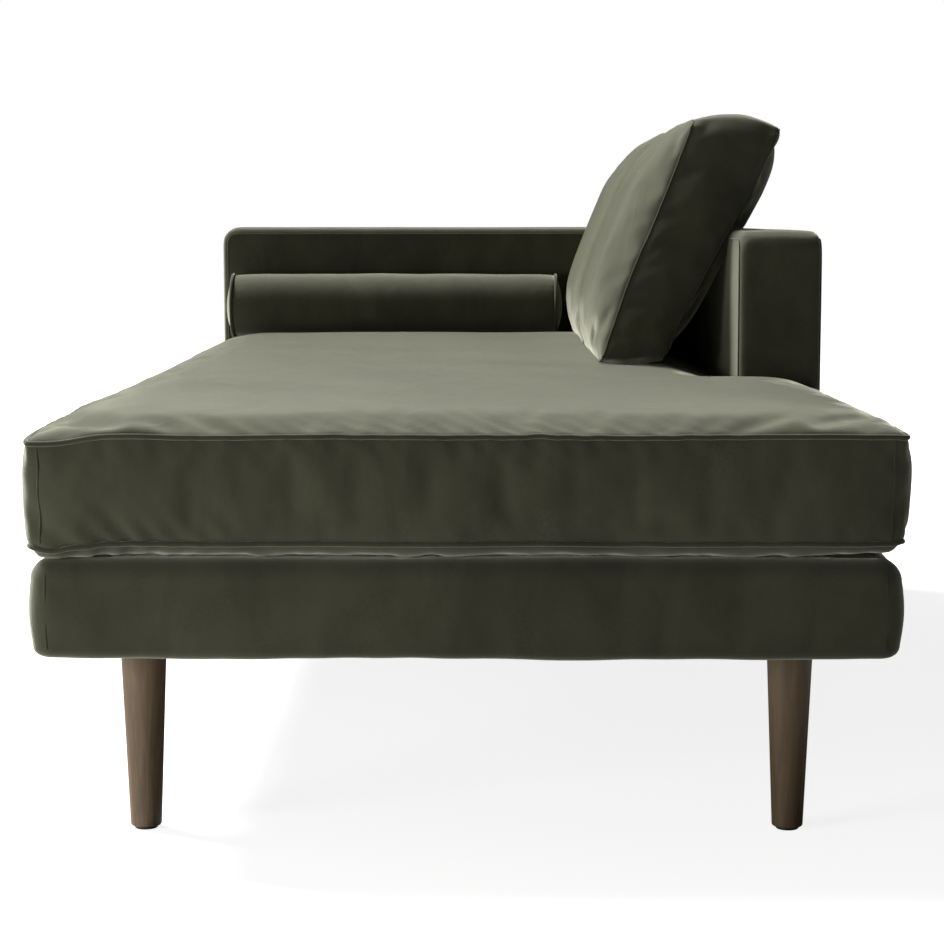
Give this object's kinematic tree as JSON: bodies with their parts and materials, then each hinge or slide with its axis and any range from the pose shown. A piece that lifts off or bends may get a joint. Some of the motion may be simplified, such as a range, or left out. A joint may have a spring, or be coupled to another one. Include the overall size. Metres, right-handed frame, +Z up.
{
  "type": "upholstered daybed",
  "caption": "Upholstered daybed on tapered wooden legs, with a loose L-shaped mattress, a low arm, a low back panel, leaning back cushions and a bolster.",
  "frame": {"origin": "centre of the bounding box at floor level", "axes": "+Z up, -Y the open foot end, +Y the head end with the arm, +X the side with the back panel"},
  "size_m": [0.95, 2, 0.8262],
  "materials": {
    "velvet": "short-pile velvet, olive grey-green",
    "welt_velvet": "velvet piping",
    "walnut": "satin dark stained wood",
    "hardwood": "sawn, unfinished",
    "plywood": "unfinished",
    "spring_steel": "drawn wire",
    "plated_steel": "zinc plated",
    "foam": "open-cell foam",
    "wadding": "polyester wadding",
    "deck_cloth": "plain woven cloth",
    "dust_cloth": "thin non-woven cloth",
    "glide_plastic": "moulded",
    "zip": "coil zip on tape"
  },
  "bodies": {
    "base": {"arm_bottom_rail": "hardwood", "arm_cover": "velvet", "arm_foam": "foam", "arm_inner_board": "plywood", "arm_outer_board": "plywood", "arm_posts": "hardwood", "arm_top_rail": "hardwood", "back_bottom_rail": "hardwood", "back_cover": "velvet", "back_foam": "foam", "back_inner_board": "plywood", "back_outer_board": "plywood", "back_posts": "hardwood", "back_top_rail": "hardwood", "base_cover": "velvet", "base_padding": "foam", "cross_rails": "hardwood", "deck_cloth": "deck_cloth", "deck_pad": "foam", "dust_cover": "dust_cloth", "foot_left_leg": "walnut", "foot_rail": "hardwood", "foot_right_leg": "walnut", "glides": "glide_plastic", "head_left_leg": "walnut", "head_rail": "hardwood", "head_right_leg": "walnut", "left_rail": "hardwood", "leg_blocks": "hardwood", "leg_bolts": "plated_steel", "leg_plates": "plated_steel", "panel_bolts": "plated_steel", "panel_nuts": "plated_steel", "panel_washers": "plated_steel", "plate_screws": "plated_steel", "right_rail": "hardwood", "spring_clips": "plated_steel", "zigzag_springs": "spring_steel"},
    "mattress": {"mattress_bottom_welt": "welt_velvet", "mattress_core": "foam", "mattress_cover": "velvet", "mattress_top_welt": "welt_velvet", "mattress_topper": "wadding", "mattress_zip": "zip"},
    "foot_cushion": {"foot_cushion_back_welt": "welt_velvet", "foot_cushion_core": "foam", "foot_cushion_cover": "velvet", "foot_cushion_front_welt": "welt_velvet", "foot_cushion_zip": "zip"},
    "head_cushion": {"head_cushion_back_welt": "welt_velvet", "head_cushion_core": "foam", "head_cushion_cover": "velvet", "head_cushion_front_welt": "welt_velvet", "head_cushion_zip": "zip"},
    "bolster": {"bolster_core": "foam", "bolster_cover": "velvet", "bolster_welts": "welt_velvet", "bolster_zip": "zip"}
  },
  "joints": [
    {"name": "mattress_lift", "type": "slide", "parent": "base", "child": "mattress", "axis": [0, 0, 1], "range_m": [0, 0.36]},
    {"name": "foot_cushion_lift", "type": "slide", "parent": "mattress", "child": "foot_cushion", "axis": [0, 0, 1], "range_m": [0, 0.38]},
    {"name": "head_cushion_lift", "type": "slide", "parent": "mattress", "child": "head_cushion", "axis": [0, 0, 1], "range_m": [0, 0.38]},
    {"name": "bolster_lift", "type": "slide", "parent": "mattress", "child": "bolster", "axis": [0, 0, 1], "range_m": [0, 0.38]}
  ]
}
